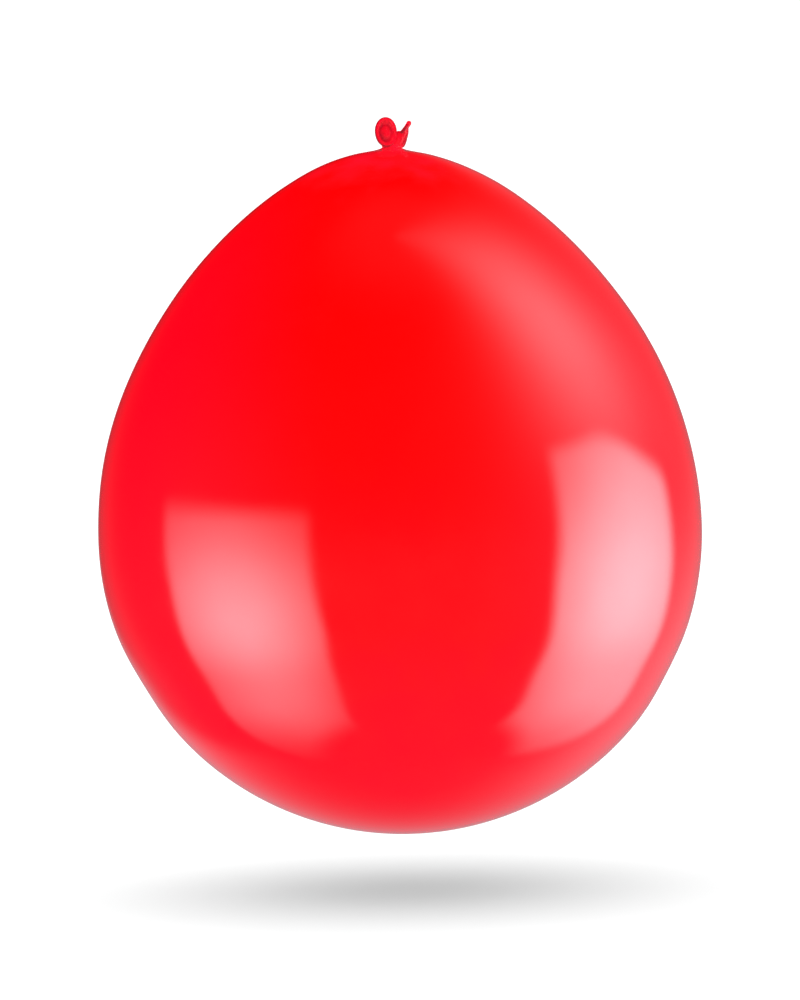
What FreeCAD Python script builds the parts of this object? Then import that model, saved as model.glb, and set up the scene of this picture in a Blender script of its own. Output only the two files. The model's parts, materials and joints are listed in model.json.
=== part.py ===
import FreeCAD, Part
import math
import os
from FreeCAD import Placement, Rotation, Vector

# A tied latex balloon, in millimetres, with its knot up.
# Origin: the tie, on the axis of the neck. +Z runs out of the balloon through the knot.
# +X is to the right and +Y is to the back when the open ear of the tail faces the front.

# ---- driving dimensions -------------------------------------------------------
BODY_R = 149.7            # largest outer radius of the inflated film
EQUATOR_Z = -191.1        # height of the widest ring
SHOULDER_H = 190.0        # from the widest ring up to where the shoulder would close
SHOULDER_PINCH = 0.184    # how much slimmer than an ellipse the shoulder is at its top
SHOULDER_POWER = 2.2      # how late that slimming sets in
WALL = 0.3                # modelled wall, far thicker than real film so that it can be meshed
CROWN_SPOT_T = 0.5        # extra thickness of the dip spot

CONE_FOOT_R = 15.0        # the film runs straight from here ...
CONE_TOP_R = 6.6          # ... to here, where it turns up into the neck
CONE_TOP_Z = -0.8
NECK_R = 5.0
NECK_Z = -0.15            # top face of the gathered collar
GATHER_Z = -2.8           # underside of the gathered latex inside the neck

LEAN_Z = -4.0             # centre about which the neck leans
SKIN_HOLE_R = 21.1        # spheres about the lean centre divide the film into rings
RING_OUTER_R = 20.8
RING_INNER_R = 13.5
COLLAR_R = 13.2

KNOT_X = 0.8              # the knot sits a little to the right of the neck's axis
KNOT_Z = 1.45
TURN_R = 3.6              # the turn: a ring of round strand, squashed front to back
TURN_STRAND_R = 1.3
TURN_STRETCH_X = 1.12
TURN_SQUASH_Y = 0.74
THROAT_R = 2.2

BEAD_R = 0.87             # rolled edge of the mouth
LEFT_HALF_H = 6.7         # oval of the left ear, along the middle of its bead
LEFT_HALF_W = 4.3
LEFT_CENTRE = Vector(-2.9, -4.3, 7.9)
LEFT_UP = Vector(0.0, 0.153, 1.0)
LEFT_ACROSS = Vector(1.0, 0.176, 0.0)
LOBE_T = 1.2              # thickness of the lobe's wall

RIGHT_HALF_DEPTH = 4.0    # oval of the right ear, which is turned edge-on
RIGHT_HALF_W = 3.2
RIGHT_CENTRE = Vector(6.5, 0.0, 10.3)
RIGHT_ACROSS = Vector(0.63, 0.0, 0.777)

WEB_BOTTOM_Z = 2.8        # the tail's web stands on the turn ...
WEB_TOP_Z = 7.2           # ... and ends under the ears
BEND_X = 3.4              # the right ear bends about this line, which runs front to back
BEND_Z = 2.2
BEND_R = 4.6
HINGE_X = 2.6             # the left ear swings about this line, which is upright
HINGE_Y = -2.4
HINGE_R = 0.6
GAP = 0.15                # room between faces that move on each other

PROFILE_STEPS = 14        # heights at which the shoulder's curve is worked out


# ---- film ---------------------------------------------------------------------
def shoulder_radius(z):
    """Ellipse quarter that slims towards the neck."""
    t = (z - EQUATOR_Z) / SHOULDER_H
    return BODY_R * math.sqrt(1.0 - t * t) * (1.0 - SHOULDER_PINCH * t ** SHOULDER_POWER)


def shoulder_height(radius):
    """Height at which the shoulder has this radius, by halving the interval."""
    low = EQUATOR_Z
    high = EQUATOR_Z + SHOULDER_H
    for _ in range(60):
        middle = 0.5 * (low + high)
        if shoulder_radius(middle) > radius:
            low = middle
        else:
            high = middle
    return low


CONE_FOOT_Z = shoulder_height(CONE_FOOT_R)


def shoulder_points(depth):
    """Points up the shoulder, moved inwards by depth along the film's normal."""
    points = []
    lean_step = 0.01
    for i in range(PROFILE_STEPS + 1):
        # the heights crowd together towards the neck, where the film bends most
        t = math.sin(0.5 * math.pi * i / PROFILE_STEPS)
        z = EQUATOR_Z + t * (CONE_FOOT_Z - EQUATOR_Z)
        slope = (shoulder_radius(z + lean_step) - shoulder_radius(z)) / lean_step
        if i == 0:
            slope = 0.0
        length = math.hypot(1.0, slope)
        points.append(Vector(shoulder_radius(z) - depth / length, 0, z + depth * slope / length))
    return points


def film_body(depth, top_points):
    """Solid inside the film's surface moved inwards by depth, closed by top_points."""
    radius = BODY_R - depth
    crown = Vector(0, 0, EQUATOR_Z - radius)
    cos45 = math.cos(math.radians(45))
    middle = Vector(radius * cos45, 0, EQUATOR_Z - radius * cos45)
    points = shoulder_points(depth)
    curve = Part.BSplineCurve()
    curve.interpolate(Points=points)
    edges = [Part.Arc(crown, middle, points[0]).toShape(), curve.toShape()]
    corners = [points[-1]] + top_points + [crown]
    for start, end in zip(corners, corners[1:]):
        edges.append(Part.LineSegment(start, end).toShape())
    face = Part.Face(Part.Wire(edges))
    return face.revolve(Vector(0, 0, 0), Vector(0, 0, 1), 360)


def film_shell():
    outer_top = [
        Vector(CONE_TOP_R, 0, CONE_TOP_Z),
        Vector(NECK_R, 0, NECK_Z),
        Vector(0, 0, NECK_Z),
    ]
    outer = film_body(0.0, outer_top)
    inner = film_body(WALL, [Vector(0, 0, GATHER_Z)])
    return outer.cut(inner)


def lean_ball(radius):
    return Part.makeSphere(radius, Vector(0, 0, LEAN_Z))


def crown_spot():
    """Lens of latex on the inside of the crown."""
    inside_r = BODY_R - WALL
    ball = Part.makeSphere(inside_r, Vector(0, 0, EQUATOR_Z))
    width = 100.0
    depth = 20.0
    top = EQUATOR_Z - inside_r + CROWN_SPOT_T
    slab = Part.makeBox(width, width, depth, Vector(-width / 2, -width / 2, top - depth))
    return ball.common(slab)


# ---- knot ---------------------------------------------------------------------
def squash(shape):
    """Stretch a round shape sideways and flatten it front to back."""
    matrix = FreeCAD.Matrix()
    matrix.scale(TURN_STRETCH_X, TURN_SQUASH_Y, 1.0)
    return shape.transformGeometry(matrix)


def knot_turn():
    ring = squash(Part.makeTorus(TURN_R, TURN_STRAND_R))
    ring.translate(Vector(KNOT_X, 0, KNOT_Z))
    return ring


def neck_throat():
    core = squash(Part.makeCylinder(THROAT_R, 2 * TURN_STRAND_R, Vector(0, 0, -TURN_STRAND_R)))
    core.translate(Vector(KNOT_X, 0, KNOT_Z))
    return core


def oval_wire(centre, half_x, half_y):
    """Level oval; the longer half is along X."""
    return Part.Wire(Part.Ellipse(centre, half_x, half_y).toShape())


def across_cylinder(radius):
    """Cylinder about the line that the right ear bends on."""
    length = 30.0
    return Part.makeCylinder(radius, length, Vector(BEND_X, -length / 2, BEND_Z), Vector(0, 1, 0))


def tail_web():
    bottom = oval_wire(Vector(2.6, 0, WEB_BOTTOM_Z), 4.0, 2.1)
    top = oval_wire(Vector(4.8, 0, WEB_TOP_Z), 3.2, 2.4)
    web = Part.makeLoft([bottom, top], True, True)
    hinge_bottom_z = 3.0
    hinge_h = 3.4
    knuckle = Part.makeCylinder(HINGE_R, hinge_h, Vector(HINGE_X, HINGE_Y, hinge_bottom_z))
    return web.fuse(knuckle).common(across_cylinder(BEND_R)).removeSplitter()


def knot_tuck(others):
    """Round strand that runs up behind the knot, trimmed to what it presses on."""
    start = Vector(-2.6, 2.6, 1.7)
    end = Vector(2.4, 3.0, 5.0)
    radius = 1.2
    run = end - start
    strand = Part.makeCylinder(radius, run.Length, start, run)
    strand = strand.fuse(Part.makeSphere(radius, start))
    strand = strand.fuse(Part.makeSphere(radius, end))
    for other in others:
        strand = strand.cut(other)
    return strand


# ---- ears of the tail ---------------------------------------------------------
def stand_oval(shape, centre, long_way, short_way):
    """Move a shape from the XY plane so that X lies along long_way and Y along short_way."""
    normal = long_way.cross(short_way)
    shape.Placement = Placement(centre, Rotation(long_way, short_way, normal, "XZY"))
    return shape


def oval_bead(half_long, half_short):
    """Round rod bent into a closed oval in the XY plane."""
    path = oval_wire(Vector(0, 0, 0), half_long, half_short)
    section = Part.Wire(Part.Circle(Vector(half_long, 0, 0), Vector(0, 1, 0), BEAD_R).toShape())
    return path.makePipeShell([section], True, True)


def oval_plate(half_long, half_short, thickness):
    face = Part.Face(oval_wire(Vector(0, 0, -thickness / 2), half_long, half_short))
    return face.extrude(Vector(0, 0, thickness))


def left_ear():
    bead = oval_bead(LEFT_HALF_H, LEFT_HALF_W)
    plate = oval_plate(LEFT_HALF_H, LEFT_HALF_W, LOBE_T).cut(bead)
    parts = []
    for shape in (plate, bead):
        parts.append(stand_oval(shape, LEFT_CENTRE, LEFT_UP, LEFT_ACROSS))
    return parts


def right_ear():
    front_to_back = Vector(0, 1, 0)
    bead = oval_bead(RIGHT_HALF_DEPTH, RIGHT_HALF_W)
    bead = stand_oval(bead, RIGHT_CENTRE, front_to_back, RIGHT_ACROSS)
    mouth = oval_wire(Vector(0, 0, 0), RIGHT_HALF_DEPTH, RIGHT_HALF_W)
    mouth = stand_oval(mouth, RIGHT_CENTRE, front_to_back, RIGHT_ACROSS)
    root = oval_wire(Vector(0, 0, 0), 2.6, 2.0)
    root = stand_oval(root, Vector(5.4, 0, 5.6), front_to_back, Vector(1, 0, 0.3))
    lobe = Part.makeLoft([root, mouth], True, True)
    lobe = lobe.cut(across_cylinder(BEND_R + GAP)).cut(bead)
    return [lobe, bead]


# ---- write one file per node ---------------------------------------------------
def main():
    os.makedirs("parts", exist_ok=True)
    shell = film_shell()
    turn = knot_turn()
    web = tail_web()
    throat = neck_throat()
    left_lobe, left_rim = left_ear()
    right_lobe, right_rim = right_ear()
    nodes = {
        "balloon_skin": shell.cut(lean_ball(SKIN_HOLE_R)),
        "crown_spot": crown_spot(),
        "shoulder_ring": shell.common(lean_ball(RING_OUTER_R)).cut(lean_ball(RING_INNER_R)),
        "neck_collar": shell.common(lean_ball(COLLAR_R)),
        "neck_throat": throat,
        "knot_turn": turn,
        "knot_tuck": knot_tuck([turn, throat, web]),
        "tail_web": web,
        "left_lobe": left_lobe,
        "left_rim": left_rim,
        "right_lobe": right_lobe,
        "right_rim": right_rim,
    }
    for name, shape in nodes.items():
        box = shape.BoundBox
        print(
            f"{name:14s} solids {len(shape.Solids)} valid {shape.isValid()} "
            f"volume {shape.Volume:9.2f}  x {box.XMin:.2f}..{box.XMax:.2f} "
            f"y {box.YMin:.2f}..{box.YMax:.2f} z {box.ZMin:.2f}..{box.ZMax:.2f}"
        )
        shape.exportStep(f"parts/{name}.step")


main()
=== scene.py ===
# %% [markdown]
# # A tied latex balloon
# The balloon is one dipped latex moulding: a film stretched thin by the air inside, a neck that gathers
# into a knot, and a short tail whose mouth ends in a rolled bead. The CAD frame says where each region is
# and how it moves. This file makes the surfaces that the eye sees, one region at a time.

# %% Load the frame
import json
import math

import bpy
import numpy as np
from mathutils import Matrix, Vector

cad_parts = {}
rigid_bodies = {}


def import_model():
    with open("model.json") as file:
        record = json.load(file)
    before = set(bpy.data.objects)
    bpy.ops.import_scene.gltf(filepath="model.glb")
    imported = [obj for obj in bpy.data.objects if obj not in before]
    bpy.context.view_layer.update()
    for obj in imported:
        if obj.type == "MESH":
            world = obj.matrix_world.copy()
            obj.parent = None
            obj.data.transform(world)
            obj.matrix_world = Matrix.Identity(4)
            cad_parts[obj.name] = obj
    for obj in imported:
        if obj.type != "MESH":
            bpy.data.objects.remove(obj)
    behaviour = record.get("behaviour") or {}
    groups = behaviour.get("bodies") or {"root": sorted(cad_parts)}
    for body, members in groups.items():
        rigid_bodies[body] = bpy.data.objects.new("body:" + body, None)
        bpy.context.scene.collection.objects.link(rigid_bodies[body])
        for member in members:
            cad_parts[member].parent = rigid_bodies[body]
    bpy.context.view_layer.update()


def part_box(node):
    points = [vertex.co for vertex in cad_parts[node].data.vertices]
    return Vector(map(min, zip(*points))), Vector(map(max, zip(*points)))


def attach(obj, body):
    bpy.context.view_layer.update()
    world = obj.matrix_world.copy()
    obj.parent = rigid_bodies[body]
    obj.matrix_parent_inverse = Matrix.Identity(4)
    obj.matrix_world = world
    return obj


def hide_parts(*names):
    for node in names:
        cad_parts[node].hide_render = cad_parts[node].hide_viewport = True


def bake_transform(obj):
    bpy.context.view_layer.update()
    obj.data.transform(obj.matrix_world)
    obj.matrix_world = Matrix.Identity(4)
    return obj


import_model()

# %% [markdown]
# All sizes below are in millimetres, because that is how a balloon maker would say them, and one factor
# turns them into the frame's metres. The origin is the tie, and the film's widest ring is below it.

# %% Sizes read from the frame
MM = 0.001
skin_low, skin_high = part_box("balloon_skin")
BODY_R = 0.5 * (skin_high.x - skin_low.x) / MM
CROWN_Z = skin_low.z / MM
EQUATOR_Z = CROWN_Z + BODY_R
print("film radius", round(BODY_R, 1), "widest ring at", round(EQUATOR_Z, 1), "crown at", round(CROWN_Z, 1))


# %% [markdown]
# A surface here is a grid of points worked out with whole numpy arrays. Each row is a ring round the
# surface, and the rows are joined by four-sided faces. A row that shrinks to a point is closed by a fan
# of triangles, so every piece is a closed skin.

# %% Grids into meshes
def ring_quads(rows, columns, first=0):
    """Faces between neighbouring rings; the last column joins the first."""
    row = np.arange(rows - 1)[:, None] * columns
    here = np.arange(columns)[None, :]
    after = (here + 1) % columns
    corners = [row + here, row + after, row + columns + after, row + columns + here]
    return first + np.stack(corners, axis=-1).reshape(-1, 4)


def fan(centre, ring_start, columns, flip):
    """Triangles from a centre vertex to a ring, turned over when flip is true."""
    here = ring_start + np.arange(columns)
    after = ring_start + (np.arange(columns) + 1) % columns
    middle = np.full(columns, centre)
    pair = (after, here) if flip else (here, after)
    return np.stack([middle, *pair], axis=-1)


def signed_volume(points, faces):
    """Sum of the tetrahedra that each face makes with the origin; positive when faces point outwards."""
    total = 0.0
    for side in (3, 4):
        chosen = np.array([f for f in faces if len(f) == side], int)
        if len(chosen):
            for k in range(1, side - 1):
                a, b, c = points[chosen[:, 0]], points[chosen[:, k]], points[chosen[:, k + 1]]
                total += np.einsum("ij,ij->i", a, np.cross(b, c)).sum() / 6.0
    return total


def piece_from(name, points, faces, material, sharp_rings=(), shade_by_point=None):
    """Closed, smooth mesh in metres from points in mm. Rings of vertices in sharp_rings shade as edges.
    The last argument gives each point's painted shade, from 0 to 1, kept as a point attribute that darkens
    the material's colour."""
    volume = signed_volume(points, faces)
    if volume < 0:
        faces = [face[::-1] for face in faces]
    mesh = bpy.data.meshes.new(name)
    mesh.from_pydata((points * MM).tolist(), [], faces)
    mesh.polygons.foreach_set("use_smooth", np.ones(len(mesh.polygons), bool))
    if len(sharp_rings):
        ends = np.zeros(2 * len(mesh.edges), int)
        mesh.edges.foreach_get("vertices", ends)
        ends = ends.reshape(-1, 2)
        sharp = np.zeros(len(ends), bool)
        for ring in sharp_rings:
            sharp |= np.isin(ends[:, 0], ring) & np.isin(ends[:, 1], ring)
        mesh.attributes.new("sharp_edge", "BOOLEAN", "EDGE").data.foreach_set("value", sharp)
    # Painted shade: a value per point that the slack latex materials turn into a darker colour.
    if shade_by_point is not None:
        kept = np.zeros(len(points))
        kept[:shade_by_point.size] = np.clip(shade_by_point, 0, 1).ravel()
        mesh.attributes.new("painted_shade", "FLOAT", "POINT").data.foreach_set("value", kept)
    mesh.materials.append(material)
    mesh.update()
    obj = bpy.data.objects.new(name, mesh)
    bpy.context.scene.collection.objects.link(obj)
    print(f"{name}: {len(points)} points, {len(faces)} faces, {abs(volume) / 1000:.3f} cm3")
    return obj


# %% [markdown]
# Colours are written as the sRGB hex values that a paint shop would give, and one function turns them
# into the linear values that a shader mixes. One more function adds a node, sets it and links it.

# %% Colour and node helpers
def linear(hex_code):
    """sRGB hex such as 'D81E2A' to a linear colour with alpha 1."""
    srgb = np.array([int(hex_code[i:i + 2], 16) for i in (0, 2, 4)]) / 255.0
    low = srgb / 12.92
    high = ((srgb + 0.055) / 1.055) ** 2.4
    return (*np.where(srgb <= 0.04045, low, high).tolist(), 1.0)


def add(tree, kind, inputs=None, **settings):
    """One node of this kind: settings are its own options, inputs are values or sockets to link."""
    node = tree.nodes.new(kind)
    for key, value in settings.items():
        setattr(node, key, value)
    for key, value in (inputs or {}).items():
        if isinstance(value, bpy.types.NodeSocket):
            tree.links.new(value, node.inputs[key])
        else:
            node.inputs[key].default_value = value
    return node


def new_material(name):
    """Empty node material with its shader and output ready, as (material, tree, shader)."""
    material = bpy.data.materials.new(name)
    material.use_nodes = True
    tree = material.node_tree
    tree.nodes.clear()
    shader = add(tree, "ShaderNodeBsdfPrincipled")
    add(tree, "ShaderNodeOutputMaterial", {"Surface": shader.outputs["BSDF"]})
    return material, tree, shader


# %% [markdown]
# Stretched latex film: natural rubber dipped on a polished form and blown up until its wall is a few
# hundredths of a millimetre. Pigmented rubber is nearly opaque and very saturated, and stretching makes
# its surface glossy, so it shows clean, soft-edged reflections over a flat pure red. Towards the crown
# and the neck it is tinted a little pinker. Both sides are tinted pinker too, as a painted sheen that
# stands in for the pale reflection along the film's edges. The dip spot at the crown is thicker and
# deeper. A waxy bloom left by the dip gives the gloss a faint mottle, some 15 mm across.

# %% Stretched film
def ramp(tree, factor, stops):
    """Colour ramp from (position, hex) pairs, read at factor."""
    node = add(tree, "ShaderNodeValToRGB", {"Fac": factor})
    bands = node.color_ramp.elements
    bands[0].position, bands[0].color = stops[0][0], linear(stops[0][1])
    bands[1].position, bands[1].color = stops[-1][0], linear(stops[-1][1])
    for position, code in stops[1:-1]:
        bands.new(position).color = linear(code)
    return node.outputs["Color"]


def stretched_film():
    """Red by height, pinker towards both sides as a painted sheen, a darker dip spot at the crown,
    and a roughness that the mottle varies between 0.10 and 0.125."""
    material, tree, shader = new_material("stretched_latex_film")
    place = add(tree, "ShaderNodeTexCoord")
    parts = add(tree, "ShaderNodeSeparateXYZ", {"Vector": place.outputs["Object"]})
    height = add(tree, "ShaderNodeMapRange", {
        "Value": parts.outputs["Z"], "From Min": CROWN_Z * MM, "From Max": 0.0})
    mottle = add(tree, "ShaderNodeTexNoise", {
        "Vector": place.outputs["Object"], "Scale": 1 / (15 * MM), "Detail": 2.0, "Roughness": 0.45})
    drift = add(tree, "ShaderNodeMapRange", {
        "Value": mottle.outputs["Fac"], "From Min": 0.3, "From Max": 0.7,
        "To Min": -0.02, "To Max": 0.02})
    where = add(tree, "ShaderNodeMath", {0: height.outputs[0], 1: drift.outputs[0]}, operation="ADD")
    body = ramp(tree, where.outputs[0], [
        (0.0, "F40224"), (0.12, "F4021E"), (0.22, "F50219"), (0.31, "F6020F"), (0.42, "F7020B"),
        (0.54, "F80205"), (0.70, "F80102"), (0.92, "F80103"), (0.945, "F6060C"), (0.97, "F50B1A"),
        (1.0, "F20F26")])
    # Painted sheen: pinker towards both sides in x, standing in for the pale reflection along the film's
    # edges.
    side = add(tree, "ShaderNodeMath", {0: parts.outputs["X"]}, operation="ABSOLUTE")
    side_sheen_mask = add(tree, "ShaderNodeMapRange", {
        "Value": side.outputs[0], "From Min": 25 * MM, "From Max": 135 * MM},
        interpolation_type="SMOOTHSTEP")
    pinker = add(tree, "ShaderNodeMix", {"B": linear("00001A")}, data_type="RGBA", blend_type="ADD")
    tree.links.new(side_sheen_mask.outputs[0], pinker.inputs["Factor"])
    tree.links.new(body, pinker.inputs["A"])
    low = add(tree, "ShaderNodeVectorMath", {
        0: place.outputs["Object"], 1: (0, 0, CROWN_Z * MM)}, operation="DISTANCE")
    spot = add(tree, "ShaderNodeMapRange", {
        "Value": low.outputs["Value"], "From Min": 6.5 * MM, "From Max": 13 * MM,
        "To Min": 1.0, "To Max": 0.0}, interpolation_type="SMOOTHSTEP")
    colour = add(tree, "ShaderNodeMix", data_type="RGBA")
    tree.links.new(spot.outputs[0], colour.inputs["Factor"])
    tree.links.new(pinker.outputs["Result"], colour.inputs["A"])
    colour.inputs["B"].default_value = linear("B80012")
    tree.links.new(colour.outputs["Result"], shader.inputs["Base Color"])
    bloom = add(tree, "ShaderNodeMapRange", {
        "Value": mottle.outputs["Fac"], "From Min": 0.3, "From Max": 0.7, "To Min": 0.10, "To Max": 0.125})
    tree.links.new(bloom.outputs[0], shader.inputs["Roughness"])
    shader.inputs["IOR"].default_value = 1.52
    return material


film = stretched_film()
print("material", film.name)

# %% [markdown]
# Slack latex is the same rubber where the air never stretched it: the neck's gathers, the knot and the
# tail. It is several times thicker, so it is a deeper crimson, and its skin is satin with fine creases
# that run along the pull; the valleys of the creases are painted darker, as painted shade. The rolled
# bead round the mouth is thicker again and smoother. The neck's gathers keep nearly the film's colour,
# a lighter crimson that is partly their own colour and partly a painted reflection of the bright band
# on their gloss. Each point's painted shade value darkens the colour further: painted shade in folds,
# grooves and the cup, on the outer side of each roll, on the ear's back, at the top of the web and on
# the right-hand flanks.

# %% Slack latex and the bead
def slack_latex(name, light, in_shade, roughness, crease_mm, crease_depth_mm):
    """Crimson, darker in the valleys of its creases as painted shade, and darkened further by each point's
    painted shade value. The creases are a noise drawn out on Z.
    """
    material, tree, shader = new_material(name)
    place = add(tree, "ShaderNodeTexCoord")
    stretch = add(tree, "ShaderNodeMapping", {"Vector": place.outputs["Object"], "Scale": (1.0, 1.0, 0.3)})
    crease = add(tree, "ShaderNodeTexNoise", {
        "Vector": stretch.outputs[0], "Scale": 1 / (crease_mm * MM), "Detail": 4.0, "Roughness": 0.55})
    # Painted shade: where the crease noise is low and the bump sinks, the colour turns to the darker
    # crimson.
    colour = ramp(tree, crease.outputs["Fac"], [(0.3, in_shade), (0.62, light)])
    # Painted shade: each point's stored shade value mixes the colour towards a dark crimson.
    fold = add(tree, "ShaderNodeAttribute", attribute_name="painted_shade")
    painted_shade_mix = add(tree, "ShaderNodeMix", data_type="RGBA")
    tree.links.new(fold.outputs["Fac"], painted_shade_mix.inputs["Factor"])
    tree.links.new(colour, painted_shade_mix.inputs["A"])
    painted_shade_mix.inputs["B"].default_value = linear("7E0016")
    tree.links.new(painted_shade_mix.outputs["Result"], shader.inputs["Base Color"])
    satin = add(tree, "ShaderNodeMapRange", {
        "Value": crease.outputs["Fac"], "From Min": 0.3, "From Max": 0.7,
        "To Min": roughness + 0.05, "To Max": roughness - 0.05})
    tree.links.new(satin.outputs[0], shader.inputs["Roughness"])
    bump = add(tree, "ShaderNodeBump", {
        "Height": crease.outputs["Fac"], "Strength": 0.5, "Distance": crease_depth_mm * MM})
    tree.links.new(bump.outputs[0], shader.inputs["Normal"])
    shader.inputs["IOR"].default_value = 1.52
    shader.inputs["Specular IOR Level"].default_value = 0.16
    shader.inputs["Subsurface Weight"].default_value = 0.15
    shader.inputs["Subsurface Radius"].default_value = (1.0, 0.15, 0.15)
    shader.inputs["Subsurface Scale"].default_value = 0.6 * MM
    return material


tied = slack_latex("slack_latex_knot", "EE0020", "CC0018", 0.52, 1.5, 0.06)
flared = slack_latex("slack_latex_flare", "E80020", "C80018", 0.50, 1.8, 0.05)
rolled = slack_latex("rolled_latex_bead", "EA0022", "D8001C", 0.46, 2.2, 0.03)
thick = slack_latex("thick_latex_dip", "C80014", "B40010", 0.50, 2.5, 0.04)
# The gathers' lighter crimson is partly their own colour and partly a painted reflection of the bright band
# on their gloss.
gathered = slack_latex("gathered_neck_latex", "F40C2A", "EC0824", 0.46, 2.0, 0.03)
print("materials", gathered.name, tied.name, flared.name, rolled.name, thick.name)

# %% [markdown]
# The inflated film could be a sculpted mesh, but air pressure makes it a clean surface of revolution, so
# one profile curve says it all: a quarter circle from the crown to the widest ring, then an ellipse
# quarter that slims towards the neck, and last a straight cone that runs up to the gathers.

# %% The film's profile
SHOULDER_H = 190.0
SHOULDER_PINCH = 0.184
SHOULDER_POWER = 2.2
CONE_TOP_R = 6.6
CONE_TOP_Z = -0.8
CONE_SLOPE = -0.202
WALL = 0.3
FILM_COLUMNS = 240
SPLIT_R = 13.5
NECK_R = 5.0


def smoothstep(value, low, high):
    """0 below low, 1 above high, and a cubic ease between them."""
    t = np.clip((value - low) / (high - low), 0, 1)
    return t * t * (3 - 2 * t)


def shoulder_radius(t):
    """Radius at share t of the shoulder's height: an ellipse quarter times one minus a power of t."""
    return BODY_R * np.sqrt(1 - t ** 2) * (1 - SHOULDER_PINCH * t ** SHOULDER_POWER)


def cone_height(radius):
    """Height of the straight cone of film under the knot, which turns up where it meets the neck."""
    straight = CONE_TOP_Z + CONE_SLOPE * (radius - CONE_TOP_R)
    return straight + 0.8 * np.exp(-(radius - 5.0) / 2.2)


def shoulder_height(radius):
    """Height at a radius: the shoulder's curve far out, the cone close in, eased between 11 and 25 mm."""
    t = 1 - np.geomspace(1e-6, 1, 6000)
    curve = EQUATOR_Z + SHOULDER_H * np.interp(radius, shoulder_radius(t), t)
    mix = smoothstep(radius, 11.0, 25.0)
    return mix * curve + (1 - mix) * cone_height(radius)


def film_profile():
    """(radius, height) rings: even in angle from just off the crown up past the widest ring, then even in
    radius from 43 mm to the split, and closer together from there to the neck."""
    angle = np.linspace(0, np.pi / 2, 84)[1:]
    low = BODY_R * np.sin(angle), EQUATOR_Z - BODY_R * np.cos(angle)
    side_r = np.concatenate([
        BODY_R * np.cos(np.linspace(0, 1.28, 72)[1:]),
        np.linspace(43.0, SPLIT_R, 49)[1:],
        np.linspace(SPLIT_R, NECK_R, 25)[1:]])
    side_r = np.unique(side_r)[::-1]
    return np.append(low[0], side_r), np.append(low[1], shoulder_height(side_r))


def normals_of(radius, height):
    """Outward unit normals of a profile, from its tangent turned by a quarter turn."""
    dr, dz = np.gradient(radius), np.gradient(height)
    length = np.hypot(dr, dz)
    return dz / length, -dr / length


profile_r, profile_z = film_profile()
split = int(np.argmin(np.abs(profile_r - SPLIT_R) + 1e3 * (profile_z < EQUATOR_Z)))
print(len(profile_r), "rings, split at radius", profile_r[split].round(3))

# %% [markdown]
# A hand-blown film is never perfectly round. A very small wave round it, under a sixth of a millimetre on
# a radius of 150, keeps its reflections from looking like those of a turned part, and its middle wanders
# sideways by up to 1.4 mm as it rises. The neck is moulded a little askew: the rings start to tilt well
# below the widest one, and above it they stand at just over one degree to the axis. Close to the knot
# the film is gathered, and shallow pleats run out from the neck and fade away at a radius of 13 mm.

# %% The inflated film and the neck's cone
PLEATS = 17
PLEAT_DEPTH = 0.16
SKEW = math.radians(1.27)
SLIM_SHARE = 0.008
SLIM_Z = -265.0
SLIM_SPREAD = 17.0


def sway(height):
    """Sideways drift of the film's middle in mm: out at the right shoulder, and again low down."""
    shoulder = 1.35 * np.exp(-((height + 85.0) / 52.0) ** 2) + 0.8 * smoothstep(height, -75.0, -20.0)
    shoulder *= smoothstep(-height, 3.0, 20.0)
    return shoulder + 1.0 * smoothstep(-height, 225.0, 285.0) - 0.3 * np.exp(-((height + 212) / 22) ** 2)


def pleat_wave(turn):
    """0 to 1 round the neck: half plus half the cosine of the pleats, which slow sines space unevenly."""
    return 0.5 + 0.5 * np.cos(PLEATS * turn + 1.2 * np.sin(2 * turn) + 0.8 * np.sin(turn + 1))


def revolve(radius, height, columns=FILM_COLUMNS):
    """Rings of points: the profile turned round Z, eased in and out by a low wave, slimmed by a bell round
    SLIM_Z, and sunk by the pleats. Each ring is skewed: its height falls by tan(SKEW) times x, which is
    eased in from z -260 to -170."""
    turn = np.linspace(0, 2 * np.pi, columns, endpoint=False)[None, :]
    r = radius[:, None]
    wave = 0.0007 * (np.cos(2 * turn + 0.7) + 0.5 * np.cos(3 * turn + 2.1)) * smoothstep(r, 20, 120)
    fold = pleat_wave(turn)
    near = 1 - smoothstep(r, 5.5, 13.0)
    slim = 1 - SLIM_SHARE * np.exp(-((height[:, None] - SLIM_Z) / SLIM_SPREAD) ** 2)
    reach = r * (1 + wave) * slim
    z = height[:, None] - PLEAT_DEPTH * near * fold * (height[:, None] > EQUATOR_Z)
    x = reach * np.cos(turn)
    z = z - math.tan(SKEW) * x * smoothstep(height, -260.0, -170.0)[:, None]
    return np.stack([x + sway(height)[:, None], reach * np.sin(turn), z], axis=-1)


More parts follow.
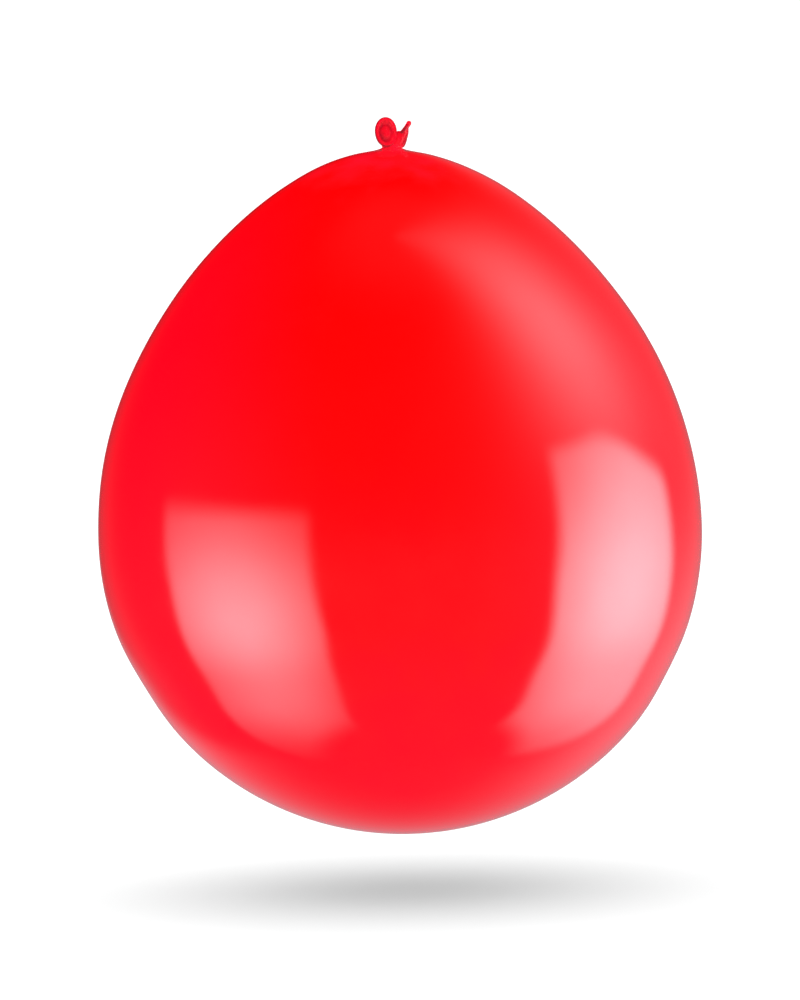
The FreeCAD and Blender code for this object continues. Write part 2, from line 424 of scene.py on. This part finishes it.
def film_piece(name, first, last, closed_crown):
    """Outer and inner skin between two rings, joined by a lip at each open end."""
    nr, nz = normals_of(profile_r, profile_z)
    rows = np.arange(first, last + 1)
    outer = revolve(profile_r[rows], profile_z[rows])
    few = np.unique(np.append(rows[2:-1:3] if closed_crown else rows, [rows[-1]]))
    inner = revolve(profile_r[few] - WALL * nr[few], profile_z[few] - WALL * nz[few])
    points = np.concatenate([outer.reshape(-1, 3), inner.reshape(-1, 3)])
    base = len(rows) * FILM_COLUMNS
    faces = ring_quads(len(rows), FILM_COLUMNS).tolist()
    faces += ring_quads(len(few), FILM_COLUMNS, base)[:, ::-1].tolist()
    ends = [(base - FILM_COLUMNS, len(points) - FILM_COLUMNS, False)]
    if not closed_crown:
        ends.append((0, base, True))
    sharp = []
    for out_start, in_start, turned in ends:
        ring_out = out_start + np.arange(FILM_COLUMNS)
        ring_in = in_start + np.arange(FILM_COLUMNS)
        lip = np.stack([ring_out, np.roll(ring_out, -1), np.roll(ring_in, -1), ring_in], axis=-1)
        faces += (lip[:, ::-1] if turned else lip).tolist()
        sharp += [ring_out, ring_in]
    if closed_crown:
        drift = sway(np.array([CROWN_Z, CROWN_Z + WALL]))
        poles = np.array([[drift[0], 0, CROWN_Z], [drift[1], 0, CROWN_Z + WALL]])
        points = np.concatenate([points, poles])
        faces += fan(len(points) - 2, 0, FILM_COLUMNS, True).tolist()
        faces += fan(len(points) - 1, base, FILM_COLUMNS, False).tolist()
    return piece_from(name, points, faces, film, sharp)


inflated = film_piece("inflated_film", 0, split, True)
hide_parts("balloon_skin")
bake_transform(inflated)

cone = film_piece("neck_cone", split, len(profile_r) - 1, False)
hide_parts("shoulder_ring", "neck_collar")
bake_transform(cone)

# %% [markdown]
# At the crown a dip-moulded balloon keeps a small thick disc, where the last drop of latex set. It
# lies on the inside, so it is made as a shallow lens that follows the film.

# %% Dip spot
def rings_piece(name, rings, material, loop=False, shade_by_point=None):
    """Skin over rings of points (rows, columns, xyz). A looped grid joins its last row to its first;
    any other is closed by a fan to the middle of each end ring."""
    rows, columns, _ = rings.shape
    points = rings.reshape(-1, 3)
    faces = ring_quads(rows, columns)
    if loop:
        last = (rows - 1) * columns + np.arange(columns)
        first = np.arange(columns)
        seam = np.stack([last, np.roll(last, -1), np.roll(first, -1), first], axis=-1)
        return piece_from(name, points, np.concatenate([faces, seam]).tolist(), material, shade_by_point=shade_by_point)
    middles = rings[[0, -1]].mean(axis=1)
    points = np.concatenate([points, middles])
    faces = faces.tolist()
    faces += fan(len(points) - 2, 0, columns, True).tolist()
    faces += fan(len(points) - 1, (rows - 1) * columns, columns, False).tolist()
    return piece_from(name, points, faces, material, shade_by_point=shade_by_point)


def dip_spot(radius=11.8, middle_t=0.5):
    """Lens: its lower face follows the film's inside, and its upper face stands off by a parabola."""
    turn = np.linspace(0, 2 * np.pi, 64, endpoint=False)[None, :]
    out = np.linspace(0.02, 1, 14)
    r = radius * np.concatenate([out, out[::-1]])[:, None]
    sphere = EQUATOR_Z - np.sqrt((BODY_R - WALL - 0.02) ** 2 - r ** 2)
    thick_by = middle_t * (1 - (r / radius) ** 2) * (np.arange(28) >= 14)[:, None]
    z = np.broadcast_to(sphere + thick_by, (28, 64))
    return np.stack([r * np.cos(turn) + sway(np.array([CROWN_Z]))[0], r * np.sin(turn), z], axis=-1)


spot = rings_piece("crown_dip_spot", dip_spot(), thick)
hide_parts("crown_spot")
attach(spot, "envelope")

# %% [markdown]
# The knot is the tube of the neck wrapped once round itself and pulled tight. Its parts are swept
# surfaces: a section carried along a path. Rope modifiers and curves could do it too, but with arrays
# the section can swell and crease along the way, as soft rubber does under tension.

# %% Sweeps
def swept(path, reference, radius, columns, closed):
    """Tube round a path. Each section lies across the path's tangent, is levelled on the reference
    direction, and its radius is given for each point of the path and each section angle."""
    if closed:
        tangent = np.roll(path, -1, axis=0) - np.roll(path, 1, axis=0)
    else:
        tangent = np.gradient(path, axis=0)
    tangent /= np.linalg.norm(tangent, axis=1, keepdims=True)
    side = np.cross(tangent, np.asarray(reference, float))
    side /= np.linalg.norm(side, axis=1, keepdims=True)
    up = np.cross(side, tangent)
    around = np.linspace(0, 2 * np.pi, columns, endpoint=False)
    cos, sin = np.cos(around)[None, :, None], np.sin(around)[None, :, None]
    reach = radius[..., None]
    return path[:, None, :] + reach * (side[:, None, :] * cos + up[:, None, :] * sin)


KNOT_X, KNOT_Z = 0.8, 1.6
TURN_R, STRAND_R = 3.6, 1.3
TURN_STRETCH, TURN_SQUASH = 1.19, 0.74


def turn_rings(steps=150, columns=40):
    """Closed oval strand. It leans a little, swells twice on its way round, and has slanting pull creases.
    Also gives each point's painted shade: most on the strand's outside at the right."""
    a = np.linspace(0, 2 * np.pi, steps, endpoint=False)
    path = np.stack([TURN_R * np.cos(a), TURN_R * np.sin(a), 0.12 * np.sin(a + 2.4)], axis=-1)
    b = np.linspace(0, 2 * np.pi, columns, endpoint=False)
    swell = 1 + 0.05 * np.sin(a * 2 + 0.9) - 0.03
    crease = 0.045 * np.abs(np.sin(1.5 * b[None, :] + 4 * a[:, None] + 0.6 * np.sin(3 * a[:, None])))
    radius = STRAND_R * (swell[:, None] - crease)
    rings = swept(path, (0, 0, 1), radius, columns, True)
    # Painted shade on the right-hand outside of the strand.
    side = 0.8 * smoothstep(np.cos(a)[:, None], 0.75, 1.0) * smoothstep(np.cos(b)[None, :], 0.0, 0.9)
    return rings * (TURN_STRETCH, TURN_SQUASH, 1.0) + (KNOT_X, 0, KNOT_Z), side


wrap_rings, wrap_shade = turn_rings()
turn_piece = rings_piece("knot_wrap", wrap_rings, tied, loop=True, shade_by_point=wrap_shade)
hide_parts("knot_turn")
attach(turn_piece, "knot")

# %% [markdown]
# Under the wrap the neck of the balloon is squeezed into pleats. It starts on the cone's last ring, so
# that the film runs into it unbroken, and ends inside the knot.

# %% Gathered neck
NECK_TOP_Z = 2.5
NECK_SHIFT = 1.3


def neck_rings(steps=26):
    """Rings that rise from the cone's end, a little slimmer as they go, and round over inside the knot."""
    share = np.sin(np.linspace(0, np.pi / 2, steps)) * 0.995
    start_z = profile_z[-1]
    radius = NECK_R * (1 - 0.08 * smoothstep(share, 0.0, 0.7)) * np.sqrt(1 - share ** 5)
    height = start_z + (NECK_TOP_Z - start_z) * share
    base = revolve(radius, height)
    turn = np.linspace(0, 2 * np.pi, FILM_COLUMNS, endpoint=False)[None, :]
    fold = pleat_wave(turn)
    squeeze = 1 - 0.05 * share[:, None] * fold
    base[..., 0] = base[..., 0] * squeeze + NECK_SHIFT * smoothstep(share, 0.0, 0.45)[:, None]
    base[..., 1] = base[..., 1] * squeeze * (1 - 0.12 * share[:, None] ** 0.8)
    return base


neck = rings_piece("neck_gathers", neck_rings(), gathered)
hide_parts("neck_throat")
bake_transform(neck)

# %% [markdown]
# Behind the knot the end of the neck comes up as a strand and dives back under. Out of the top comes the
# flat tail, whose walls are pressed into a pleated web that the two ears grow from.

# %% The tuck and the tail's web
def tuck_rings(steps=48, columns=30):
    """Strand that comes up behind the knot and dives into the web: round, with blunt ends."""
    t = np.linspace(0, 1, steps)
    across = -3.0 + 5.9 * t
    behind = 2.45 + 0.95 * np.sin(np.pi * t)
    rise = 1.6 + 3.3 * t - 0.5 * np.sin(2 * np.pi * t)
    path = np.stack([across, behind, rise], axis=-1)
    b = np.linspace(0, 2 * np.pi, columns, endpoint=False)
    blunt = np.sqrt(np.clip(1 - np.abs(2 * t - 1) ** 5, 0.004, 1))
    crease = 0.05 * np.abs(np.sin(2 * b[None, :] + 2.2 * t[:, None] * np.pi))
    return swept(path, (0, 0, 1), 1.2 * blunt[:, None] * (1 - crease), columns, False)


tuck = rings_piece("knot_tucked_strand", tuck_rings(), tied)
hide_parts("knot_tuck")
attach(tuck, "knot")


def web_rings(steps=46, columns=96):
    """Pleated tail between the ears: ovals that drift right as they rise and are closed by a soft dome.
    Low down they bulge to the front. Also gives each point's painted shade: on the right and at the top."""
    t = np.linspace(0, 1, steps)[:, None]
    a = np.linspace(0, 2 * np.pi, columns, endpoint=False)[None, :]
    dome = np.sqrt(np.clip(1 - t ** 7, 0.002, 1))
    fold = 0.06 * np.cos(11 * a + 1.3 * np.sin(a) + 2.0 * t)
    fold = fold * np.sin(np.pi * np.clip(t + 0.12, 0, 1)) ** 0.7
    shape = dome * (1 + fold)
    x = 1.9 + 2.3 * t + 0.5 * np.sin(np.pi * t) + (4.7 - 1.2 * t) * shape * np.cos(a)
    front = smoothstep(-np.sin(a), 0.0, 1.0) * (1 - smoothstep(np.cos(a), 0.2, 0.9)) * (1 - t ** 2)
    front = 1 + 0.75 * front
    y = (2.3 + 0.2 * t) * front * shape * np.sin(a)
    z = 1.6 + 7.0 * t + 0.25 * t * np.cos(2 * a + 0.5)
    # Painted shade: darker on the web's right flank and towards its top.
    in_shade = 0.6 * smoothstep(np.cos(a), 0.4, 1.0) + 0.35 * smoothstep(t, 0.75, 1.0)
    return np.stack([x, y, z], axis=-1), in_shade


pleat_rings, pleat_shade = web_rings()
web = rings_piece("tail_pleats", pleat_rings, tied, shade_by_point=pleat_shade)
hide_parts("tail_web")
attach(web, "knot")

# %% [markdown]
# The left ear is the mouth of the balloon turned to the front: a rolled bead round a dished lobe. The
# dish has a groove inside the bead and a raised fold in its middle, where the two walls of the flat tail
# lie on each other. Its back swells towards the tail that it grows from.

# %% Left ear
BEAD_R = 0.87
EAR_H, EAR_W = 6.75, 4.7
EAR_MIDDLE = np.array([-2.8, -4.3, 7.9])
EAR_UP = np.array([0.0, 0.153, 1.0]) / math.hypot(0.153, 1.0)
EAR_ACROSS = np.array([1.0, 0.176, 0.0]) / math.hypot(1.0, 0.176)
EAR_FRONT = np.cross(EAR_ACROSS, EAR_UP)


def join_bell(a, spread):
    """1 at the ear's lower right, where it runs into the tail, and 0 away from there."""
    return np.exp(-(((a + 0.60 + np.pi) % (2 * np.pi) - np.pi) / spread) ** 2)


def ear_outline(a):
    """Oval that is a little fuller at lower right, where the ear joins the tail."""
    full = 1 + 0.13 * join_bell(a, 0.55)
    return EAR_W * full * np.cos(a), EAR_H * (1 + 0.3 * (full - 1)) * np.sin(a)


def ear_place(across, up, front):
    """Point of the ear from its own three directions."""
    return (EAR_MIDDLE + across[..., None] * EAR_ACROSS + up[..., None] * EAR_UP
            + front[..., None] * EAR_FRONT)


def ear_bead_rings(steps=180, columns=28):
    """Rolled bead: a tube on the outline, uneven by a few percent and a third thinner at the join, with
    the groove of the roll's edge."""
    a = np.linspace(0, 2 * np.pi, steps, endpoint=False)
    across, up = ear_outline(a)
    wave = 0.16 * np.sin(2 * a + 0.6) - 0.75 * join_bell(a, 0.75)
    path = ear_place(across, up, wave)
    b = np.linspace(0, 2 * np.pi, columns, endpoint=False)[None, :]
    uneven = 1 + 0.035 * np.sin(3 * a + 0.4) + 0.02 * np.sin(7 * a)
    roll_edge = 0.05 * np.exp(-((b - 2.2 - 0.15 * np.sin(2 * a)[:, None]) / 0.28) ** 2)
    radius = BEAD_R * (uneven - 0.32 * join_bell(a, 0.7))[:, None] - BEAD_R * roll_edge
    return swept(path, EAR_FRONT, radius, columns, True)


def bead_flank_shade(steps, columns):
    """Painted shade for each point of a bead: an ease of how far it faces out of the mouth, and less near
    the angle at which the left ear joins the tail."""
    b = np.linspace(0, 2 * np.pi, columns, endpoint=False)[None, :]
    a = np.linspace(0, 2 * np.pi, steps, endpoint=False)[:, None]
    # Painted shade on the outer side of the roll.
    return 0.85 * smoothstep(np.cos(b), -0.1, 0.85) * (1 - join_bell(a, 0.7))


def ear_dish_rings(rows=34, columns=120):
    """Front and back of the lobe over the same oval, from the middle to the bead and back again.
    Also gives each point's painted shade: in the groove, and on the back."""
    s = np.concatenate([np.linspace(0.03, 1, rows), np.linspace(1, 0.03, rows)])[:, None]
    a = np.linspace(0, 2 * np.pi, columns, endpoint=False)[None, :]
    edge_x, edge_y = ear_outline(a)
    across, up = s * edge_x, s * edge_y
    is_back = (np.arange(2 * rows) >= rows)[:, None]
    groove = np.exp(-((s - 0.60 - 0.03 * np.sin(3 * a)) / 0.17) ** 2) * (1 - 0.6 * join_bell(a, 0.6))
    fold_x = -0.25 + 0.10 * up
    fold = np.exp(-((across - fold_x) / 0.75) ** 2) * (1 - smoothstep(np.abs(up), 1.6, 4.0))
    pull = 0.05 * np.sin(9 * a + 1.0) * smoothstep(s, 0.25, 0.6) * (1 - smoothstep(s, 0.8, 1.0))
    front = 0.15 * (1 - smoothstep(s, 0.3, 0.62)) - 0.9 * groove + 0.35 * fold + pull
    rim_lift = (0.45 - 0.9 * join_bell(a, 0.75)) * smoothstep(s, 0.7, 0.95)
    front += 0.16 * np.sin(2 * a + 0.6) * s ** 4 + rim_lift
    root = np.exp(-((across - 1.9) ** 2 / 4.2 + (up + 2.3) ** 2 / 7.5))
    back = -(0.55 + 1.0 * (1 - s ** 4) + 2.6 * root * (1 - s ** 5))
    back += 0.10 * np.cos(10 * a) * smoothstep(s, 0.2, 0.6) * (1 - s ** 4)
    # Painted shade: darker in the groove inside the bead and over the whole back.
    in_shade = 0.55 * groove * (0.75 - 0.25 * np.sin(a + 0.6)) + 0.3 * is_back
    return ear_place(across, up, np.where(is_back, back, front)), in_shade


def bend_left(piece):
    """The ear grows from the tail at its hinge. This only bakes the piece's placement into its mesh."""
    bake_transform(piece)


left_bead = rings_piece(
    "left_ear_bead", ear_bead_rings(), rolled, loop=True, shade_by_point=bead_flank_shade(180, 28))
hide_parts("left_rim")
bend_left(left_bead)
dish_rings, dish_shade = ear_dish_rings()
left_dish = rings_piece("left_ear_dish", dish_rings, flared, shade_by_point=dish_shade)
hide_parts("left_lobe")
bend_left(left_dish)

# %% [markdown]
# The right ear is the other side of the mouth, turned edge-on: a pleated funnel with a bead round it.

# %% Right ear
MOUTH_DEPTH, MOUTH_W = 4.0, 3.15
MOUTH_MIDDLE = np.array([6.95, 0.0, 10.0])
MOUTH_ACROSS = np.array([0.63, 0.0, 0.777]) / math.hypot(0.63, 0.777)
MOUTH_FACING = np.cross(MOUTH_ACROSS, (0, 1, 0))


def funnel_rings(rows=30, columns=120):
    """Outside from root to mouth, then inside back down to the cup's floor, inset by the wall.
    Also gives each point's painted shade: inside the cup, and outside on the right."""
    u = np.concatenate([np.linspace(0, 1, rows), np.linspace(1, 0.42, rows)])[:, None]
    a = np.linspace(0, 2 * np.pi, columns, endpoint=False)[None, :]
    inside = (np.arange(2 * rows) >= rows)[:, None]
    flare = u ** 1.7
    half_y = 2.3 + (MOUTH_DEPTH - 2.3) * flare
    half_x = 2.5 + (MOUTH_W - 2.5) * flare
    inset = np.where(inside, 0.8 + 1.3 * (1 - smoothstep(u, 0.42, 0.75)), 0.0)
    pleat = 0.18 * (1 - u) ** 0.8 * np.cos(9 * a + 0.8 * np.sin(a))
    pleat = pleat + 0.05 * np.cos(14 * a + 1) * (1 - u ** 4)
    reach_y = (half_y - inset + pleat * np.where(inside, 0.5, 1.0)) * np.sin(a)
    reach_x = (half_x - inset * 0.9 + pleat * np.where(inside, 0.5, 1.0)) * np.cos(a)
    tilt = smoothstep(u, 0.0, 0.9)[..., None]
    across = (1 - tilt) * np.array([1.0, 0, 0.1]) + tilt * MOUTH_ACROSS
    across /= np.linalg.norm(across, axis=-1, keepdims=True)
    lift = u[..., None]
    middle = (1 - lift) * np.array([5.2, 0, 4.8]) + lift * MOUTH_MIDDLE
    middle = middle + np.sin(np.pi * lift) * np.array([0.15, 0, 0.0])
    # Painted shade: darker inside the cup and on the funnel's right-hand outside.
    in_shade = np.where(inside, 0.3, 0.6 * smoothstep(np.cos(a), 0.4, 1.0))
    return middle + reach_x[..., None] * across + reach_y[..., None] * np.array([0, 1.0, 0]), in_shade


def mouth_bead_rings(steps=150, columns=28):
    """Rolled bead on the funnel's mouth, slightly saddle-shaped, uneven by a few percent, and up to 40
    percent thicker towards its outer right."""
    a = np.linspace(0, 2 * np.pi, steps, endpoint=False)
    path = (MOUTH_MIDDLE + np.cos(a)[:, None] * MOUTH_W * MOUTH_ACROSS
            + np.sin(a)[:, None] * MOUTH_DEPTH * np.array([0, 1.0, 0])
            + 0.12 * np.cos(2 * a)[:, None] * MOUTH_FACING)
    b = np.linspace(0, 2 * np.pi, columns, endpoint=False)[None, :]
    uneven = 1 + 0.02 * np.sin(5 * a) + 0.40 * (0.5 + 0.5 * np.cos(a)) ** 3
    roll_edge = 0.10 * np.exp(-((b - 2.4 - 0.15 * np.sin(2 * a)[:, None]) / 0.28) ** 2)
    radius = BEAD_R * (uneven[:, None] - roll_edge - 0.03)
    return swept(path, MOUTH_FACING, radius, columns, True)


def bend_right(piece):
    """The funnel bends just above the web. This only bakes the piece's placement into its mesh."""
    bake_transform(piece)


right_bead = rings_piece(
    "right_ear_bead", mouth_bead_rings(), rolled, loop=True, shade_by_point=bead_flank_shade(150, 28))
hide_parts("right_rim")
bend_right(right_bead)
wall_rings, wall_shade = funnel_rings()
right_funnel = rings_piece("right_ear_funnel", wall_rings, flared, shade_by_point=wall_shade)
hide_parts("right_lobe")
bend_right(right_funnel)

# %% [markdown]
# The studio is a white sweep with the balloon held just above it. The soft shadow comes from one very
# wide overhead light. The floor is there for the eye only: it sends no light back up, so that the
# underside is lit from below as evenly as the rest, as on a lit table. The balloon likewise throws no
# red light on the floor or on itself.

# %% Floor
FLOOR_GAP = 28.5
FLOOR_Z = CROWN_Z - FLOOR_GAP
FLOOR_R = 6000
FLOOR_CORNERS = 96


def plain_floor():
    """Large pale disc, matt."""
    turn = np.linspace(0, 2 * np.pi, FLOOR_CORNERS, endpoint=False)
    level = np.full(FLOOR_CORNERS, FLOOR_Z)
    points = np.stack([FLOOR_R * np.cos(turn), FLOOR_R * np.sin(turn), level], axis=-1)
    mesh = bpy.data.meshes.new("floor")
    mesh.from_pydata((points * MM).tolist(), [], [list(range(FLOOR_CORNERS))])
    obj = bpy.data.objects.new("floor", mesh)
    bpy.context.scene.collection.objects.link(obj)
    material, _, shader = new_material("matt_white_board")
    shader.inputs["Base Color"].default_value = linear("E7E7E7")
    shader.inputs["Roughness"].default_value = 1.0
    shader.inputs["Specular IOR Level"].default_value = 0.0
    mesh.materials.append(material)
    obj.visible_glossy = False
    obj.visible_diffuse = False
    obj.visible_shadow = False
    return obj


floor = plain_floor()
overhead = bpy.data.lights.new("overhead_sky", "SUN")
overhead.angle = math.radians(178)
overhead.energy = 4.4
overhead.cycles.use_multiple_importance_sampling = False
overhead_obj = bpy.data.objects.new("overhead_sky", overhead)
overhead_obj.visible_glossy = False
bpy.context.scene.collection.objects.link(overhead_obj)
for piece in bpy.context.scene.collection.objects:
    if piece.type == "MESH" and piece is not floor:
        piece.visible_diffuse = False


# %% [markdown]
# What the gloss mirrors is painted on the world as a dark room with lights in it, each set by its
# bearing round the balloon and its height above the horizon, in degrees. Bearing 0 is towards the viewer
# and +90 is to the right. Two large soft windows stand low on either side, a wide glow hangs high on the
# right, and the white sweep behind shows only where the film turns away at its edge. The light is a
# touch bluer than white, as through a window.

# %% Surround
GLOSS_STRENGTH = 1.07


def surround():
    """World light: white for the eye, plain white that is stronger from below for matt surfaces, and a
    room with windows for the gloss."""
    world = bpy.data.worlds.new("studio_surround")
    bpy.context.scene.world = world
    world.use_nodes = True
    world.cycles.sampling_method = "NONE"
    tree = world.node_tree
    tree.nodes.clear()

    def calc(operation, *values):
        """One arithmetic step on numbers or sockets."""
        return add(tree, "ShaderNodeMath", dict(enumerate(values)), operation=operation).outputs[0]

    def ease(value, low, high):
        """0 at low to 1 at high, smooth; low may be above high."""
        node = add(tree, "ShaderNodeMapRange", {"Value": value, "From Min": low, "From Max": high},
                   interpolation_type="SMOOTHSTEP")
        return node.outputs[0]

    def bell(bearing, height, middle, spread):
        """Soft spot: a bell curve in both directions."""
        total = None
        for value, centre, width in zip((bearing, height), middle, spread):
            step = calc("POWER", calc("DIVIDE", calc("SUBTRACT", value, centre), width), 2.0)
            total = step if total is None else calc("ADD", total, step)
        return calc("EXPONENT", calc("MULTIPLY", total, -0.5))

    direction = add(tree, "ShaderNodeTexCoord").outputs["Generated"]
    parts = add(tree, "ShaderNodeSeparateXYZ", {"Vector": direction})
    x, y, z = parts.outputs
    bearing = calc("DEGREES", calc("ARCTAN2", x, calc("MULTIPLY", y, -1.0)))
    height = calc("DEGREES", calc("ARCSINE", z))

    slant = calc("MULTIPLY", ease(height, -8.0, -60.0), 21.0)
    inner_slant = calc("MULTIPLY", ease(height, -32.0, -70.0), 11.0)
    left = calc("MULTIPLY", ease(calc("ADD", bearing, slant), -101.0, -95.0),
                ease(calc("ADD", bearing, inner_slant), -31.0, -37.0))
    left = calc("MULTIPLY", left, calc("MULTIPLY", ease(height, 8.5, 2.0), ease(height, -73.0, -62.0)))
    left = calc("MULTIPLY", left, calc("MULTIPLY", bell(bearing, height, (-66, -27), (24, 20.5)), 7.4))

    inner = calc("SUBTRACT", bearing, calc("MULTIPLY", ease(height, -12.0, -60.0), 14.0))
    right = calc("MULTIPLY", ease(inner, 57.5, 65.0), ease(height, -66.0, -55.0))
    top = calc("ADD", height, calc("MULTIPLY", ease(bearing, 82.0, 128.0), 13.0))
    right = calc("MULTIPLY", right, ease(top, 23.0, 17.5))
    outer = calc("SUBTRACT", bearing, calc("MULTIPLY", bell(bearing, height, (125, -32), (40, 18)), 16.0))
    right = calc("MULTIPLY", right, ease(outer, 124.0, 114.0))
    right = calc("MULTIPLY", right, calc("MULTIPLY", bell(bearing, height, (88, -15), (25, 24.5)), 9.1))

    glow = calc("MULTIPLY", bell(bearing, height, (92, 43), (19.5, 20)), 2.4)
    zenith = calc("MULTIPLY", ease(height, 62.0, 86.0), 0.08)
    halo = calc("MULTIPLY", bell(bearing, height, (80, 25), (34, 42)), 0.20)
    left_halo = calc("MULTIPLY", bell(bearing, height, (-72, 0), (26, 20)), 0.09)

    back = calc("FLOORED_MODULO", bearing, 360.0)
    back_end = calc("MULTIPLY_ADD", height, -0.75, 192.0)
    span = calc("MULTIPLY", ease(back, 112.0, 132.0), ease(calc("SUBTRACT", back, back_end), 7.0, -7.0))
    level = calc("ADD", calc("MULTIPLY", ease(height, 55.0, 20.0), 0.12),
                 calc("MULTIPLY", ease(height, 8.0, -12.0), 0.20))
    sweep = calc("MULTIPLY", calc("MULTIPLY", span, level), ease(height, -68.0, -16.0))
    right_low = calc("MULTIPLY", bell(back, height, (138, -34), (17, 17)), 0.30)
    left_low = calc("MULTIPLY", bell(back, height, (206, -16), (14, 15)), 0.11)
    floor_tone = calc("MULTIPLY", ease(height, 30.0, -80.0), 0.075)
    total = None
    for part in (left, right, glow, zenith, halo, left_halo, sweep, right_low, left_low, floor_tone):
        total = part if total is None else calc("ADD", total, part)

    below = ease(z, 0.15, -0.25)
    matt_level = calc("ADD", 0.28, calc("MULTIPLY", below, 0.95))
    rays = add(tree, "ShaderNodeLightPath")
    for_eye = add(tree, "ShaderNodeBackground", {"Color": (1, 1, 1, 1), "Strength": 1.3})
    for_gloss = add(tree, "ShaderNodeBackground", {
        "Color": linear("F7F7FF"), "Strength": calc("MULTIPLY", total, GLOSS_STRENGTH)})
    for_matt = add(tree, "ShaderNodeBackground", {"Color": (1, 1, 1, 1), "Strength": matt_level})
    room = add(tree, "ShaderNodeMixShader", {
        0: rays.outputs["Is Glossy Ray"], 1: for_matt.outputs[0], 2: for_gloss.outputs[0]})
    seen = add(tree, "ShaderNodeMixShader", {
        0: rays.outputs["Is Camera Ray"], 1: room.outputs[0], 2: for_eye.outputs[0]})
    add(tree, "ShaderNodeOutputWorld", {"Surface": seen.outputs[0]})


surround()

# %% [markdown]
# The camera stands level with the middle of the film, far off with a long lens, so the balloon keeps
# its plain outline. The balloon hangs about one degree out of plumb, and the camera is rolled by that.

# %% Camera
VIEW_DISTANCE = 1550.0
VIEW_X, VIEW_Z = 0.2, -175.15
FRAME_HEIGHT = 498.3
CAMERA_ROLL = math.radians(1.27)
SENSOR = 36.0

lens = bpy.data.cameras.new("camera")
lens.sensor_width = SENSOR
lens.lens = SENSOR * VIEW_DISTANCE / FRAME_HEIGHT
lens.clip_start, lens.clip_end = 0.05, 50.0
camera = bpy.data.objects.new("camera", lens)
camera.matrix_world = (
    Matrix.Translation(Vector((VIEW_X, -VIEW_DISTANCE, VIEW_Z)) * MM)
    @ Matrix.Rotation(math.radians(90), 4, "X")
    @ Matrix.Rotation(-CAMERA_ROLL, 4, "Z"))
bpy.context.scene.collection.objects.link(camera)
bpy.context.scene.camera = camera
bpy.context.scene.view_settings.view_transform = "Standard"
print("lens", round(lens.lens, 1), "mm")
